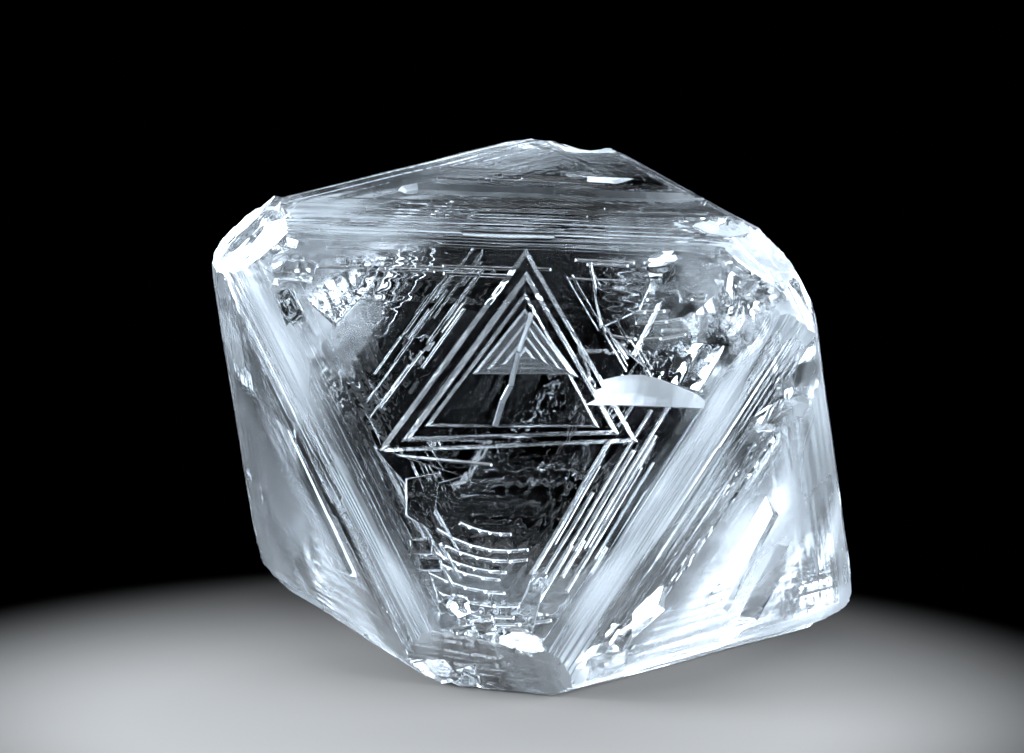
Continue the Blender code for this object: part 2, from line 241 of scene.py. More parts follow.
# Places full of small broken flats: face, middle, radius, how many, smallest and largest flat, depth, tilt.
ROUGH_SPOTS = (
    ("front", (3.25, 1.55), 0.75, 26, 0.10, 0.42, 0.075, 22),
    ("front", (2.75, 1.98), 0.55, 12, 0.10, 0.35, 0.050, 18),
    ("front", (0.35, -3.85), 0.55, 18, 0.10, 0.35, 0.075, 22),
    ("front", (-3.35, 1.75), 0.45, 10, 0.10, 0.30, 0.060, 22),
    ("front", (-0.35, -3.55), 0.50, 10, 0.08, 0.25, 0.050, 18),
    ("front_right", (-2.60, -1.35), 0.70, 14, 0.10, 0.35, 0.070, 20),
    ("front_right", (-0.20, 2.30), 0.60, 14, 0.10, 0.35, 0.080, 20),
    ("front_left", (3.10, -1.30), 0.50, 10, 0.10, 0.30, 0.060, 20),
    ("top", (2.90, -1.90), 0.70, 14, 0.12, 0.40, 0.080, 20),
    ("top", (-3.30, -2.10), 0.50, 10, 0.10, 0.35, 0.060, 20),
    ("top_left", (0.0, 0.0), 0.95, 26, 0.12, 0.40, 0.110, 32),
    ("top_right_upper", (0.0, 0.0), 1.00, 24, 0.12, 0.40, 0.110, 32),
    ("top_right_outer", (0.0, 0.0), 1.00, 24, 0.12, 0.36, 0.110, 30),
    ("top_right_face", (0.0, 0.0), 0.70, 14, 0.10, 0.32, 0.090, 28),
    ("tip", (0.0, 0.0), 0.80, 26, 0.12, 0.36, 0.110, 32),
    ("back_right_outer", (0.0, 0.0), 0.90, 10, 0.15, 0.50, 0.060, 16),
    ("back_left_middle", (0.0, 0.0), 0.90, 10, 0.15, 0.50, 0.060, 16),
    ("back_left", (1.80, 0.20), 1.50, 14, 0.20, 0.60, 0.050, 12),
    ("back_right", (-1.20, 0.60), 1.50, 14, 0.20, 0.60, 0.050, 12),
    ("back", (-1.60, -1.30), 1.00, 5, 0.20, 0.50, 0.030, 8),
)
FLAT_SIDES = (3, 4, 4, 5)
FLAT_TURN = (-8, 8)
FLAT_UNEVEN = (-0.2, 0.2)
FLAT_SPREAD = (0.7, 1.2)
FLAT_SQUASH = 0.8
FLAT_DEEPER = (0.4, 1.3)
FLAT_TILTED = (0.3, 1.2)
# The shell-shaped flat beside the trigon.
SHELL_MIDDLE = (2.14, -1.336)
SHELL_BALL = 2.8  # radius of the ball
SHELL_CAP = 1.576  # radius of the ball's cap, where it meets the face
SHELL_BASE = -0.20  # height of its straight side
SHELL_FROST = (0.34, 0.34)
SHELL_SUBDIVISIONS = 5
# Small lone trigons: face, place to the right and up on it, width, depth.
SMALL_PITS = (
    ("back", -1.3 * MM, 0.6 * MM, 1.30 * MM, 0.060 * MM),
    ("back", 0.9 * MM, -0.7 * MM, 0.80 * MM, 0.045 * MM),
    ("back", 1.6 * MM, 0.9 * MM, 0.45 * MM, 0.040 * MM),
    ("back_left", 0.4 * MM, 0.2 * MM, 1.00 * MM, 0.050 * MM),
    ("back_left", -1.0 * MM, 1.1 * MM, 0.50 * MM, 0.040 * MM),
    ("back_right", -0.5 * MM, -0.3 * MM, 1.10 * MM, 0.050 * MM),
    ("back_right", 0.8 * MM, 0.9 * MM, 0.50 * MM, 0.040 * MM),
)
# The slot across the top face.
SLOT_MIDDLE = (0.35 * MM, -0.05 * MM)
SLOT_SIZE = (4.5 * MM, 0.8 * MM)
SLOT_DEPTH = 0.075 * MM
SLOT_END_SHARE = 0.86  # reach of the two slants that round its left end, as a share of its half length
SLOT_END_ANGLES = (145, 215)
SLOT_FROST = (0.25, -1.0)
# The broken groove on the right face. Each dash: its place along the groove, and its length.
GROOVE_MIDDLE = (-1.23, 0.93)
GROOVE_DASHES = ((-1.20, 0.45), (-0.60, 0.60), (0.05, 0.50), (0.55, 0.30), (1.10, 0.60))
GROOVE_WIDTH = 0.12
GROOVE_ANGLE = 58  # degrees, from level
GROOVE_DEPTH = 0.045
GROOVE_TILT = 17
# Fine curved ribs: face, middle of the arcs, nearest and farthest, first and last angle, how many, width,
# depth.
ARCS = (
    ("front", (0.30, -0.60), 1.55, 2.85, -128, -72, 9, 0.05, 0.014),
    ("front", (2.10, 3.00), 1.20, 2.30, -110, -50, 6, 0.05, 0.014),
)
ARC_PARTS = 5
ARC_SHORTER = 0.35  # an arc may lose up to this share of its length at either end
# Shell-shaped chips: face, place to the right and up on it, depth, radius of the ball that fits it.
CHIPS = (
    ("front", 2.90 * MM, 1.75 * MM, 0.15 * MM, 2.20 * MM),
    ("front", 3.40 * MM, 1.10 * MM, 0.16 * MM, 1.50 * MM),
    ("front", 0.55 * MM, -4.00 * MM, 0.22 * MM, 0.90 * MM),
    ("front_right", 0.75 * MM, 2.90 * MM, 0.22 * MM, 1.20 * MM),
    ("front_right", -2.55 * MM, -1.50 * MM, 0.20 * MM, 0.80 * MM),
    ("top", 3.15 * MM, -1.60 * MM, 0.20 * MM, 1.10 * MM),
    ("top", -3.60 * MM, -1.75 * MM, 0.22 * MM, 0.60 * MM),
    ("top", 0.30 * MM, 3.55 * MM, 0.20 * MM, 1.30 * MM),
    ("back_left", 2.30 * MM, -2.00 * MM, 0.22 * MM, 1.40 * MM),
    ("back", -3.00 * MM, -1.60 * MM, 0.24 * MM, 1.20 * MM),
)
CHIP_SUBDIVISIONS = 3

# The finished surface.
PAIRS = (("top", "bottom"), ("front", "back"), ("back_right", "front_left"), ("back_left", "front_right"))
CELL_START = 0.63  # the first cut along each axis, as a share of a cell
SLIT_ROUNDS = 8
SHORT_EDGE = 0.01 * MM
NO_AREA = 1e-13
SMOOTH_ANGLE = math.radians(24)
CUT_TOLERANCE = 1e-9
CELL_TOLERANCE = 1e-8
PLANE_NONE = 0.5 * MM  # a point this far below a face's plane isn't on the face
PLANE_FULL = 0.2 * MM  # and one this far below it still is
# How near an edge or a corner is: a nearness at which it begins to count, and one at which it counts in full.
CORNER_RANGE = (0.55, 0.88)
EDGE_RANGE = (0.84, 0.97)
RIM_RANGE = (0.90, 0.99)
BEHIND_RANGE = (-2.6 * MM, -0.8 * MM)  # y, from the centre, between the crisp front and the rounder rest
LINES_RANGE = (0.45, 0.95)
LINES_LEAST = 0.1
# Noise: how many waves per mm, seed, lowest and highest value that count as 0 and 1.
STREAK_NOISE = (1.0, 12, 0.3, 0.7)
SATIN_NOISE = (0.8, 8, 0.35, 0.65)
CORNER_NOISE = (1.8, 10, 0.3, 0.7)
NOISE_SHIFT = 17.3  # between the noises of two seeds
STREAK_STRETCH = (16, 3)  # streaks run along the edges
# Roughness, and the least share of it that the noise leaves.
SATIN = {
    "front_right": 0.30,
    "front_left": 0.24,
    "back_left": 0.05,
    "back_right": 0.05,
    "top": 0.05,
}
SATIN_LEAST = 0.4
EDGE_ROUGHNESS = 0.32
EDGE_LEAST = 0.2
EDGE_LESS_AT_CORNERS = 0.6
CORNER_ROUGHNESS = 0.05
CORNER_LEAST = 0.4
PATCH_LEAST = 0.3
PATCH_FULL = 0.3  # inside this share of an oval its frost is at its full strength
# Ovals of frost: face, middle, radii in mm, turn in degrees, roughness.
FROST_PATCHES = (
    ("top", (-2.2, -2.0), (2.0, 0.8), 0, 0.42),
    ("top", (-2.4, -0.9), (1.9, 0.8), 33, 0.42),
    ("top", (2.7, -1.9), (1.0, 0.6), 0, 0.15),
    ("front", (2.6, 1.35), (1.6, 1.0), 0, 0.26),
    ("front", (-2.5, 0.95), (1.5, 1.05), -50, 0.36),
    ("front", (-2.74, -0.69), (2.8, 0.24), -60, 0.45),
    ("front", (2.75, -1.7), (2.9, 0.70), 59, 0.36),
    ("front", (0.4, -3.7), (1.1, 0.6), 0, 0.20),
    ("front", (-0.1, -2.7), (0.7, 0.4), 0, 0.10),
)
# Wear: how far it goes in, in mm, waves per mm, seed.
FACE_WAVES = (0.006, 0.9, 1)
RIM_WAVES = (0.014, 2.6, 2)
CORNER_WAVES = (0.050, 1.5, 3)
CORNER_DENTS = ((0.100, 2.3, 4), (0.040, 5.5, 11))
WOBBLE = 0.012 * MM
WOBBLE_NOISE = 0.8
WOBBLE_SEEDS = (5, 6, 7)
ROUNDING = 0.55  # share of the way that a corner's points move at each of the rounds
ROUNDING_IN_FRONT = 0.10  # share of it that the seen corners get
ROUNDING_ROUNDS = 6
# The material's bump: a fine grain, and four sets of growth lines, one along each pair of faces.
IOR = 2.417
GRAIN_SCALE = 14.0
GRAIN_HEIGHT = 0.025
LINE_STRETCH = 24.0
LINE_SCALE = 0.4
BUMP_DEPTH = 0.012 * MM

# The photograph's view: where the camera stands around the crystal, and how large it sees it.
VIEW_AZIMUTH = math.radians(10.1)
VIEW_ELEVATION = math.radians(12.4)
VIEW_DISTANCE = 300 * MM
PIXELS_PER_METRE = 69850
CENTRE_PIXEL = (530.7, 416.9)
IMAGE_WIDTH = 1024
IMAGE_HEIGHT = 753
SENSOR = 36.0
CLIP_END = 10.0

# Soft lights: azimuth, which is 0 on the trigon's side and grows to the right, elevation, width and height in
# mm, power.
LIGHTS = {
    "back": (180, 40, (80, 46), 0.034),
    "back_left": (-142, 8, (34, 24), 0.036),
    "back_right": (160, 8, (24, 24), 0.016),
    "left": (-75, 14, (44, 36), 0.088),
    "right": (56, 11, (46, 36), 0.084),
    "front_right": (27, 9, (20, 18), 0.006),
    "far_right": (92, 12, (36, 36), 0.040),
    "front_left": (-42, 9, (18, 16), 0.022),
}
LIGHT_TINT = (0.71, 0.85, 1.0)
LIGHT_DISTANCE = 60 * MM
BLACK = (0, 0, 0, 1)
# The floor: a pool of light painted into its colour, pale near its middle and fading out to black, a hair
# below the resting face, so that air lies between the two.
FLOOR_COLOUR = (0.41, 0.36, 0.32, 1)
FLOOR_ROUGHNESS = 0.7
FLOOR_REACH = 11 * MM
# Where the painted pool of light begins to fade, and where it has faded to black.
PAINTED_LIGHT_POOL_FADE = (4.5 * MM, 10.0 * MM)
FLOOR_MIDDLE = (0, -5.5 * MM, -0.02 * MM)
FLOOR_SIDES = 96
BOUNCES = 7


def distance(face):
    return WEAR[face][2] if face in WEAR else REACH + GROWTH[face]


def outward_of(face):
    return direction(*WEAR[face][:2]) if face in WEAR else NORMALS[face]


def direction(azimuth_deg, elevation_deg):
    azimuth = math.radians(azimuth_deg)
    elevation = math.radians(elevation_deg)
    level = math.cos(elevation)
    return Vector((level * math.cos(azimuth), level * math.sin(azimuth), math.sin(elevation)))


def face_plane(face, depth):
    return CENTRE + outward_of(face) * (distance(face) - depth), outward_of(face)


def face_axes(face):
    normal = outward_of(face)
    if abs(normal.z) > 0.9:
        right = Vector((1, 0, 0))
    else:
        right = Vector((0, 0, 1)).cross(normal).normalized()
    return right, normal.cross(right)


def on_face(face, right_by, up_by, depth=0.0):
    right, up = face_axes(face)
    return face_plane(face, depth)[0] + right * right_by + up * up_by


def neighbours(face):
    return [other for other in NORMALS if abs(NORMALS[face].dot(NORMALS[other]) - RISE) < 0.01]


def cut_by_planes(bm, planes):
    for point, normal in planes:
        everything = bm.verts[:] + bm.edges[:] + bm.faces[:]
        cut = bmesh.ops.bisect_plane(
            bm, geom=everything, dist=CUT_TOLERANCE, plane_co=point, plane_no=normal, clear_outer=True
        )
        rim = [part for part in cut["geom_cut"] if isinstance(part, bmesh.types.BMEdge)]
        if rim:
            bmesh.ops.edgeloop_fill(bm, edges=rim)
    bmesh.ops.recalc_face_normals(bm, faces=bm.faces[:])


def new_object(name, bm, collection, frost=PLAIN_CUT, outward=None):
    """Keeps with every face how frosted it is, on a cut's walls and on its floor, which looks outward."""
    layer = bm.faces.layers.float.new("frost")
    bm.normal_update()
    for face in bm.faces:
        is_floor = outward is not None and abs(face.normal.dot(outward)) > FLOOR_NORMAL
        face[layer] = frost[1] if is_floor else frost[0]
    mesh = bpy.data.meshes.new(name)
    bm.to_mesh(mesh)
    bm.free()
    obj = bpy.data.objects.new(name, mesh)
    collection.objects.link(obj)
    return obj


def solid_between(name, planes, collection, frost=PLAIN_CUT, outward=None):
    bm = bmesh.new()
    bmesh.ops.create_cube(bm, size=4 * EDGE, matrix=Matrix.Translation(CENTRE))
    cut_by_planes(bm, planes)
    if not bm.faces:
        bm.free()
        return None
    return new_object(name, bm, collection, frost, outward)


def tipped(normal, rng):
    axis = Vector((rng.uniform(-1, 1), rng.uniform(-1, 1), rng.uniform(-1, 1))).normalized()
    return Matrix.Rotation(rng.uniform(-SIDE_TILT, SIDE_TILT), 3, axis) @ normal


def retreat(level):
    return (1 - level / (SHEETS - 1)) ** BAND_CURVE


def stop_short(face, other, level):
    width = BANDS.get((face, other), BAND)
    return LEAST_STEP + (width - LEAST_STEP) * retreat(level)


def growth_sheet(face, level, collection, rng):
    foot, outward = face_plane(face, CORE_DEPTH + SHEET_FOOT)
    planes = [face_plane(face, level * SHEET_THICKNESS), (foot, -outward)]
    for other in NORMALS:
        if other == face:
            continue
        if other in neighbours(face):
            scatter = LEDGE_SCATTER * rng.uniform(-0.5, 0.5) * retreat(level)
            point, normal = face_plane(other, stop_short(face, other, level) * (1 + scatter))
            planes.append((point, tipped(normal, rng)))
        else:
            planes.append(face_plane(other, LEAST_STEP + BAND * CORNER_SHARE * retreat(level)))
    solid_between(f"sheet_{face}_{level}", planes, collection)


def tab(face, other, level, collection, rng):
    """A strip that carries a sheet's edge a little further out, along part of its length."""
    short = stop_short(face, other, level)
    next_short = stop_short(face, other, level + 1)
    reach = short - (short - next_short) * rng.uniform(*TAB_REACH) - TAB_CLEAR
    span = 2 * REACH - short
    start = rng.uniform(*TAB_START)
    length = rng.uniform(*TAB_LENGTH)
    end = max(TAB_LEAST_END, 1 - start - length)
    ends = [side for side in neighbours(face) if side != other]
    top = level * SHEET_THICKNESS + rng.uniform(*TAB_RISE) * SHEET_THICKNESS
    foot, outward = face_plane(face, CORE_DEPTH + SHEET_FOOT)
    inner, way = face_plane(other, short + TAB_INSIDE)
    point, normal = face_plane(other, reach)
    planes = [
        face_plane(face, top),
        (foot, -outward),
        (point, tipped(normal, rng)),
        (inner, -way),
        face_plane(ends[0], start * span),
        face_plane(ends[1], end * span),
    ]
    solid_between(f"tab_{face}_{other}_{level}", planes, collection)


def growth_sheets(collection):
    rng = random.Random(SEED)
    for face in NORMALS:
        for level in range(SHEETS):
            growth_sheet(face, level, collection, rng)
        for other in neighbours(face):
            seen = (face, other) in SEEN_BANDS
            for level in range(0, SHEETS - 1, 1 if seen else UNSEEN_LEDGES):
                for _ in range(TABS_SEEN if seen else 1):
                    tab(face, other, level, collection, rng)


def wear(collection):
    for name, (azimuth, elevation, reach) in WEAR.items():
        outward = direction(azimuth, elevation)
        turn = outward.to_track_quat("Z", "Y").to_matrix().to_4x4()
        place = Matrix.Translation(CENTRE + outward * (reach + WEAR_BLOCK / 2))
        bm = bmesh.new()
        bmesh.ops.create_cube(bm, size=WEAR_BLOCK, matrix=place @ turn)
        new_object(f"wear_{name}", bm, collection)


def pit(name, face, middle, sides, depth, collection, frost=PLAIN_CUT):
    """A flat-floored pit. Each side has the way it lies to, in degrees, and its distance from the middle."""
    right, up = face_axes(face)
    outward = NORMALS[face]
    planes = [(middle + outward * LID, outward), (middle - outward * depth, -outward)]
    for angle_deg, reach in sides:
        angle = math.radians(angle_deg)
        across = right * math.cos(angle) + up * math.sin(angle)
        wall = across * math.sin(WALL_SLOPE) - outward * math.cos(WALL_SLOPE)
        planes.append((middle + across * reach, wall))
    return solid_between(name, planes, collection, frost, outward)


def polygon_cut(name, face, corners, depth, slope_deg, collection, tilt_deg=0, lean_deg=0, frost=PLAIN_CUT):
    """A pit with these corners on its face. Its floor may be tilted, and then looks a little to lean_deg."""
    right, up = face_axes(face)
    outward = outward_of(face)
    places = [on_face(face, u * MM, v * MM) for u, v in corners]
    middle = sum(places, Vector()) / len(places)
    lean = math.radians(lean_deg)
    tilt = math.radians(tilt_deg)
    floor = outward * math.cos(tilt) + (right * math.cos(lean) + up * math.sin(lean)) * math.sin(tilt)
    planes = [(middle + outward * LID, outward), (middle - outward * depth * MM, -floor)]
    slope = math.radians(slope_deg)
    for place, following in zip(places, places[1:] + places[:1]):
        across = (following - place).cross(outward).normalized()
        if across.dot(middle - place) > 0:
            across = -across
        planes.append((place, across * math.sin(slope) - outward * math.cos(slope)))
    return solid_between(name, planes, collection, frost, outward)


def strip_corners(first, last, side):
    return [tuple(first + side), tuple(last + side), tuple(last - side), tuple(first - side)]


def line_cut(name, face, start, end, width, depth, collection):
    """A narrow groove: clear and flat-floored, V-shaped, or a deep crack."""
    along = Vector((end[0] - start[0], end[1] - start[1]))
    side = Vector((-along.y, along.x)).normalized() * width / 2
    corners = strip_corners(Vector(start), Vector(end), side)
    if depth < 0:
        polygon_cut(name, face, corners, -depth, CLEAR_LINE_WALL_DEG, collection, frost=CLEAR_CUT)
    elif depth < width:
        frost = LINE_FROST if face == "front" else CLEAR_CUT
        polygon_cut(name, face, corners, depth, LINE_WALL_DEG, collection, frost=frost)
    else:
        polygon_cut(name, face, corners, depth, CRACK_WALL_DEG, collection, frost=CRACK_FROST)


def bundles(collection):
    rng = random.Random(SEED + 1)
    for number, bundle in enumerate(BUNDLES):
        face, start, angle_deg, reach, spread, shortest, longest, count, width, depth = bundle
        angle = math.radians(angle_deg)
        along = Vector((math.cos(angle), math.sin(angle)))
        aside = Vector((math.sin(angle), -math.cos(angle)))
        for index in range(count):
            length = rng.uniform(shortest, longest)
            forward = rng.uniform(0, max(LINE_LEAST_ROOM, reach - length))
            first = Vector(start) + along * forward + aside * rng.uniform(0, spread)
            turn = math.radians(rng.uniform(*LINE_TURN))
            last = first + Vector((math.cos(angle + turn), math.sin(angle + turn))) * length
            wide = width * rng.uniform(*LINE_WIDER)
            deep = depth * rng.uniform(*LINE_DEEPER)
            line_cut(f"line_{number}_{index}", face, first, last, wide, deep, collection)


def rough_spots(collection):
    rng = random.Random(SEED + 2)
    for number, (face, middle, radius, count, smallest, largest, depth, tilt) in enumerate(ROUGH_SPOTS):
        for index in range(count):
            away = radius * math.sqrt(rng.random())
            angle = rng.uniform(0, 2 * math.pi)
            place = Vector(middle) + Vector((math.cos(angle), math.sin(angle))) * away
            size = rng.uniform(smallest, largest)
            turn = math.radians(60 * rng.randrange(6) + rng.uniform(*FLAT_TURN))
            sides = rng.choice(FLAT_SIDES)
            corners = []
            for corner in range(sides):
                way = turn + 2 * math.pi * (corner + rng.uniform(*FLAT_UNEVEN)) / sides
                spread = size * rng.uniform(*FLAT_SPREAD)
                corners.append(tuple(place + Vector((math.cos(way), FLAT_SQUASH * math.sin(way))) * spread))
            corners = in_order(corners)
            lean = rng.uniform(0, 360)
            deep = depth * rng.uniform(*FLAT_DEEPER)
            tilted = tilt * rng.uniform(*FLAT_TILTED)
            name = f"flat_{number}_{index}"
            polygon_cut(name, face, corners, deep, FLAT_WALL_DEG, collection, tilted, lean)


def in_order(corners):
    """The corners in order around their middle."""
    middle = sum((Vector(corner) for corner in corners), Vector((0, 0))) / len(corners)
    return sorted(corners, key=lambda corner: math.atan2(corner[1] - middle.y, corner[0] - middle.x))


def shell(collection):
    """A shallow cap of a large ball, cut straight along its lower side."""
    outward = NORMALS["front"]
    lift = math.sqrt(SHELL_BALL**2 - SHELL_CAP**2) * MM
    middle = on_face("front", SHELL_MIDDLE[0] * MM, SHELL_MIDDLE[1] * MM) + outward * lift
    place = Matrix.Translation(middle)
    bm = bmesh.new()
    bmesh.ops.create_icosphere(bm, subdivisions=SHELL_SUBDIVISIONS, radius=SHELL_BALL * MM, matrix=place)
    up = face_axes("front")[1]
    base = on_face("front", 0, SHELL_BASE * MM)
    cut_by_planes(bm, [(base, -up)])
    new_object("shell", bm, collection, SHELL_FROST)


def details(collection):
    for number, (face, start, end, width, depth) in enumerate(GROOVES):
        line_cut(f"groove_{number}", face, start, end, width, depth, collection)
    for number, (face, corners, depth, tilt, lean) in enumerate(FACETS):
        frost = CLEAR_CUT if face == "front" else PLAIN_CUT
        polygon_cut(f"facet_{number}", face, corners, depth, FACET_WALL_DEG, collection, tilt, lean, frost)
    bundles(collection)
    arcs(collection)
    rough_spots(collection)
    shell(collection)


def triangle_sides(width, height, roll):
    """The sides of a triangle that points up, turned by roll degrees."""
    lean = math.atan2(width / 2, height)
    reach = 2 * height / 3 * math.sin(lean)
    tilt = math.degrees(lean)
    return ((-90 + roll, height / 3), (tilt + roll, reach), (180 - tilt + roll, reach))


def trigon(collection):
    for number, (tip, left, right, depth, slope) in enumerate(TRIGON):
        frost = TRIGON_FROST if number < TRIGON_OUTLINES else TRIGON_HATCH_FROST
        polygon_cut(f"trigon_{number}", "front", (tip, left, right), depth, slope, collection, frost=frost)


def small_pits(collection):
    for number, (face, right_by, up_by, width, depth) in enumerate(SMALL_PITS):
        roll = 180 if NORMALS[face].z < 0 else 0
        sides = triangle_sides(width, width * math.sqrt(3) / 2, roll)
        pit(f"small_pit_{number}", face, on_face(face, right_by, up_by), sides, depth, collection)


def slot(collection):
    length, width = SLOT_SIZE
    sides = [(angle, length / 2) for angle in (0, 180)]
    sides += [(angle, width / 2) for angle in (90, -90)]
    sides += [(angle, length / 2 * SLOT_END_SHARE) for angle in SLOT_END_ANGLES]
    pit("slot", "top", on_face("top", *SLOT_MIDDLE), sides, SLOT_DEPTH, collection, SLOT_FROST)


def groove(collection):
    """A broken groove: its flat floor is clear and tilted, so it stands out from the frost round it."""
    angle = math.radians(GROOVE_ANGLE)
    along = Vector((math.cos(angle), math.sin(angle)))
    side = Vector((-along.y, along.x)) * GROOVE_WIDTH / 2
    for number, (place, length) in enumerate(GROOVE_DASHES):
        first = Vector(GROOVE_MIDDLE) + along * (place - length / 2)
        last = first + along * length
        corners = strip_corners(first, last, side)
        polygon_cut(f"groove_{number}", "front_right", corners, GROOVE_DEPTH, GROOVE_WALL_DEG, collection,
                    GROOVE_TILT, GROOVE_ANGLE + 90, CLEAR_CUT)


def arcs(collection):
    """Fine curved ribs: each is a chain of short narrow grooves."""
    rng = random.Random(SEED + 3)
    for row, (face, middle, nearest, farthest, first_deg, last_deg, count, width, depth) in enumerate(ARCS):
        span = last_deg - first_deg
        for number in range(count):
            radius = nearest + (farthest - nearest) * (number + rng.uniform(-0.3, 0.3)) / (count - 1)
            start = first_deg + rng.uniform(0, ARC_SHORTER) * span
            stop = last_deg - rng.uniform(0, ARC_SHORTER) * span
            places = []
            for part in range(ARC_PARTS + 1):
                way = math.radians(start + (stop - start) * part / ARC_PARTS)
                places.append((middle[0] + radius * math.cos(way), middle[1] + radius * math.sin(way)))
            for part, ends in enumerate(zip(places, places[1:])):
                line_cut(f"arc_{row}_{number}_{part}", face, *ends, width, depth, collection)


def chips(collection):
    for number, (face, right_by, up_by, depth, radius) in enumerate(CHIPS):
        middle = on_face(face, right_by, up_by) + NORMALS[face] * (radius - depth)
        place = Matrix.Translation(middle)
        bm = bmesh.new()
        bmesh.ops.create_icosphere(bm, subdivisions=CHIP_SUBDIVISIONS, radius=radius, matrix=place)
        new_object(f"chip_{number}", bm, collection)


def helper_collection(name):
    collection = bpy.data.collections.new(name)
    bpy.context.scene.collection.children.link(collection)
    return collection


def boolean(obj, collection, operation):
    modifier = obj.modifiers.new(operation.title(), "BOOLEAN")
    modifier.operation = operation
    modifier.operand_type = "COLLECTION"
    modifier.collection = collection
    modifier.solver = "MANIFOLD"


def cut_into_cells(bm):
    """Cuts the surface along a grid, so that no flat is too large to be worn or waved."""
    for axis in range(3):
        normal = Vector([1.0 if index == axis else 0.0 for index in range(3)])
        places = [vert.co[axis] for vert in bm.verts]
        low, high = min(places), max(places)
        for step in range(int((high - low) / GRID)):
            place = low + (step + CELL_START) * GRID
            faces = []
            for face in bm.faces:
                sides = [vert.co[axis] > place for vert in face.verts]
                if any(sides) and not all(sides):
                    faces.append(face)
            edges = {edge for face in faces for edge in face.edges}
            verts = {vert for face in faces for vert in face.verts}
            geom = faces + list(edges) + list(verts)
            bmesh.ops.bisect_plane(
                bm, geom=geom, dist=CELL_TOLERANCE, plane_co=normal * place, plane_no=normal
            )


def close_slits(bm):
    """Where an edge hasn't two faces, collapses it if it is very short, or takes out faces without area."""
    for _ in range(SLIT_ROUNDS):
        crowded = [edge for edge in bm.edges if len(edge.link_faces) != 2]
        short = [edge for edge in crowded if edge.calc_length() < SHORT_EDGE]
        if short:
            bmesh.ops.collapse(bm, edges=short)
            continue
        flat = {face for edge in crowded for face in edge.link_faces if face.calc_area() < NO_AREA}
        if not flat:
            break
        bmesh.ops.delete(bm, geom=list(flat), context="FACES")


def ramp(low, high, value):
    """0 at low, 1 at high, and smooth between them."""
    share = np.clip((value - low) / (high - low), 0, 1)
    return share * share * (3 - 2 * share)


def pair_closeness(points):
    """For each pair of opposite faces, how near a point lies to either of them: 1 is on the face."""
    for name, opposite in PAIRS:
        along = points @ np.array(NORMALS[name])
        yield along / distance(name), -along / distance(opposite)


def closeness(points):
    """The same for each point, with the nearest pair first."""
    values = [np.maximum(*pair) for pair in pair_closeness(points)]
    return -np.sort(-np.array(values), axis=0)


def noise_at(points, per_mm, seed):
    scaled = points * (per_mm / MM) + seed * NOISE_SHIFT
    return np.array([noise.noise(Vector(point)) for point in scaled])


def joined_pairs(bm):
    """The two ends of every edge, in both orders."""
    pairs = np.array([(edge.verts[0].index, edge.verts[1].index) for edge in bm.edges])
    return np.vstack((pairs, pairs[:, ::-1]))


def smoothed(points, pairs, share, rounds):
    """Moves each point by its share of the way to the middle of the points that it is joined to."""
    count = np.bincount(pairs[:, 0], minlength=len(points)).reshape(-1, 1)
    for _ in range(rounds):
        total = np.zeros_like(points)
        np.add.at(total, pairs[:, 0], points[pairs[:, 1]])
        points = points + share.reshape(-1, 1) * (total / count - points)
    return points


def on_plane(points, name):
    """1 for a point on or near this face's plane, 0 for one well below it."""
    along = points @ np.array(NORMALS[name])
    return ramp(distance(name) - PLANE_NONE, distance(name) - PLANE_FULL, along)


def in_patch(points, face, middle, radii, turn_deg, amount):
    """A soft-edged oval of frost on one face."""
    right, up = (np.array(axis) for axis in face_axes(face))
    u = points @ right / MM - middle[0]
    v = points @ up / MM - middle[1]
    turn = math.radians(turn_deg)
    along = (u * math.cos(turn) + v * math.sin(turn)) / radii[0]
    across = (v * math.cos(turn) - u * math.sin(turn)) / radii[1]
    return amount * on_plane(points, face) * ramp(1.0, PATCH_FULL, np.hypot(along, across))


def share_noise(points, per_mm, seed, low, high):
    return ramp(low, high, 0.5 + 0.5 * noise_at(points, per_mm, seed))


def from_least(least, share):
    return least + (1 - least) * share


def roughness_of(points, ordered, corner):
    """Satin faces, streaked edges, rough corners and ovals of frost."""
    edge = ramp(*EDGE_RANGE, ordered[1])
    streaks = (ordered[1] * STREAK_STRETCH[0], ordered[2] * STREAK_STRETCH[1], ordered[0])
    streak = share_noise(np.stack(streaks, axis=1) * MM, *STREAK_NOISE)
    rough = sum(amount * on_plane(points, name) for name, amount in SATIN.items())
    rough *= from_least(SATIN_LEAST, share_noise(points, *SATIN_NOISE))
    rough += EDGE_ROUGHNESS * edge * from_least(EDGE_LEAST, streak) * (1 - EDGE_LESS_AT_CORNERS * corner)
    rough += CORNER_ROUGHNESS * corner * from_least(CORNER_LEAST, share_noise(points, *CORNER_NOISE))
    for patch in FROST_PATCHES:
        rough += in_patch(points, *patch) * from_least(PATCH_LEAST, streak)
    return rough


def waves(points, share, depth, per_mm, seed):
    return depth * share * (1 + noise_at(points, per_mm, seed))


def dents(points, share, depth, per_mm, seed):
    return depth * share * np.abs(noise_at(points, per_mm, seed))


def worn_places(points, pairs, corner, rim):
    """The points, from the crystal's centre, once the corners are rounded and the faces waved."""
    behind = ramp(*BEHIND_RANGE, points[:, 1])
    share = ROUNDING * corner * from_least(ROUNDING_IN_FRONT, behind)
    points = smoothed(points, pairs, share, ROUNDING_ROUNDS)
    outward = points / np.linalg.norm(points, axis=1).reshape(-1, 1)
    inward = waves(points, 1, *FACE_WAVES)
    inward += waves(points, rim, *RIM_WAVES)
    inward += waves(points, corner, *CORNER_WAVES)
    for dent in CORNER_DENTS:
        inward += dents(points, corner, *dent)
    points = points - outward * inward.reshape(-1, 1) * MM
    wobble = np.stack([noise_at(points, WOBBLE_NOISE, seed) for seed in WOBBLE_SEEDS], axis=1)
    return points + wobble * WOBBLE


